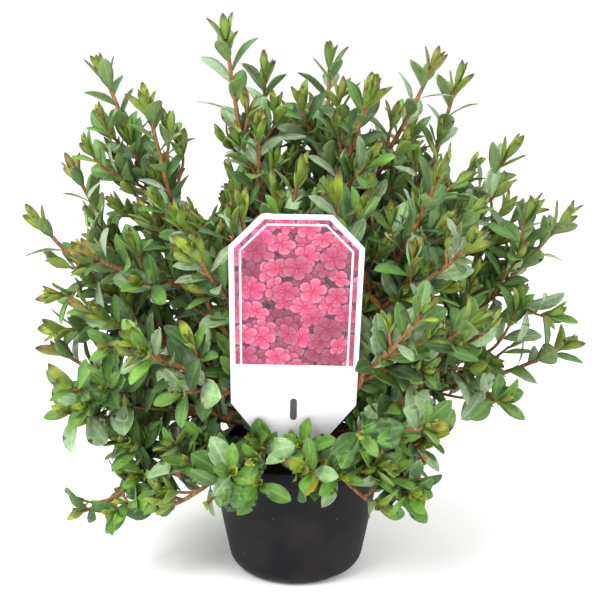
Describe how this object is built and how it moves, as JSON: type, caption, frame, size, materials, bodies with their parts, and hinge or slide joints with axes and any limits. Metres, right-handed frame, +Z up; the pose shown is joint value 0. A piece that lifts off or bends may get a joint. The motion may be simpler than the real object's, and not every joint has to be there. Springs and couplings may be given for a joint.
{
  "type": "potted azalea shrub",
  "caption": "Evergreen azalea shrub in a round black nursery pot: a short stem, forking boughs and leafy sprays, with a picture label on a stake.",
  "frame": {"origin": "centre of the pot's flat underside, on the surface that the pot stands on", "axes": "+Z up, -Y towards the front, where the label faces, +X to the right seen from the front"},
  "size_m": [0.5064, 0.4203, 0.4981],
  "materials": {
    "pot_plastic": "matt moulded polypropylene",
    "peat": "moist potting peat",
    "card": "printed plastic sheet, satin",
    "old_bark": "rough brown bark",
    "young_bark": "smooth reddish bark",
    "foliage": "leathery evergreen leaves"
  },
  "bodies": {
    "root": {"pot": "pot_plastic", "soil": "peat", "label_card": "card", "label_stake": "pot_plastic", "stem": "old_bark", "bough_01": "young_bark", "spray_01": "foliage", "bough_02": "young_bark", "spray_02": "foliage", "bough_03": "young_bark", "spray_03": "foliage", "bough_04": "young_bark", "spray_04": "foliage", "bough_05": "young_bark", "spray_05": "foliage", "bough_06": "young_bark", "spray_06": "foliage", "bough_07": "young_bark", "spray_07": "foliage", "bough_08": "young_bark", "spray_08": "foliage", "bough_09": "young_bark", "spray_09": "foliage", "bough_10": "young_bark", "spray_10": "foliage", "bough_11": "young_bark", "spray_11": "foliage", "bough_12": "young_bark", "spray_12": "foliage", "bough_13": "young_bark", "spray_13": "foliage", "bough_14": "young_bark", "spray_14": "foliage", "bough_15": "young_bark", "spray_15": "foliage", "bough_16": "young_bark", "spray_16": "foliage", "bough_17": "young_bark", "spray_17": "foliage", "bough_18": "young_bark", "spray_18": "foliage", "bough_19": "young_bark", "spray_19": "foliage", "bough_20": "young_bark", "spray_20": "foliage", "bough_21": "young_bark", "spray_21": "foliage", "bough_22": "young_bark", "spray_22": "foliage", "bough_23": "young_bark", "spray_23": "foliage", "bough_24": "young_bark", "spray_24": "foliage", "bough_25": "young_bark", "spray_25": "foliage", "bough_26": "young_bark", "spray_26": "foliage", "bough_27": "young_bark", "spray_27": "foliage"}
  },
  "joints": []
}
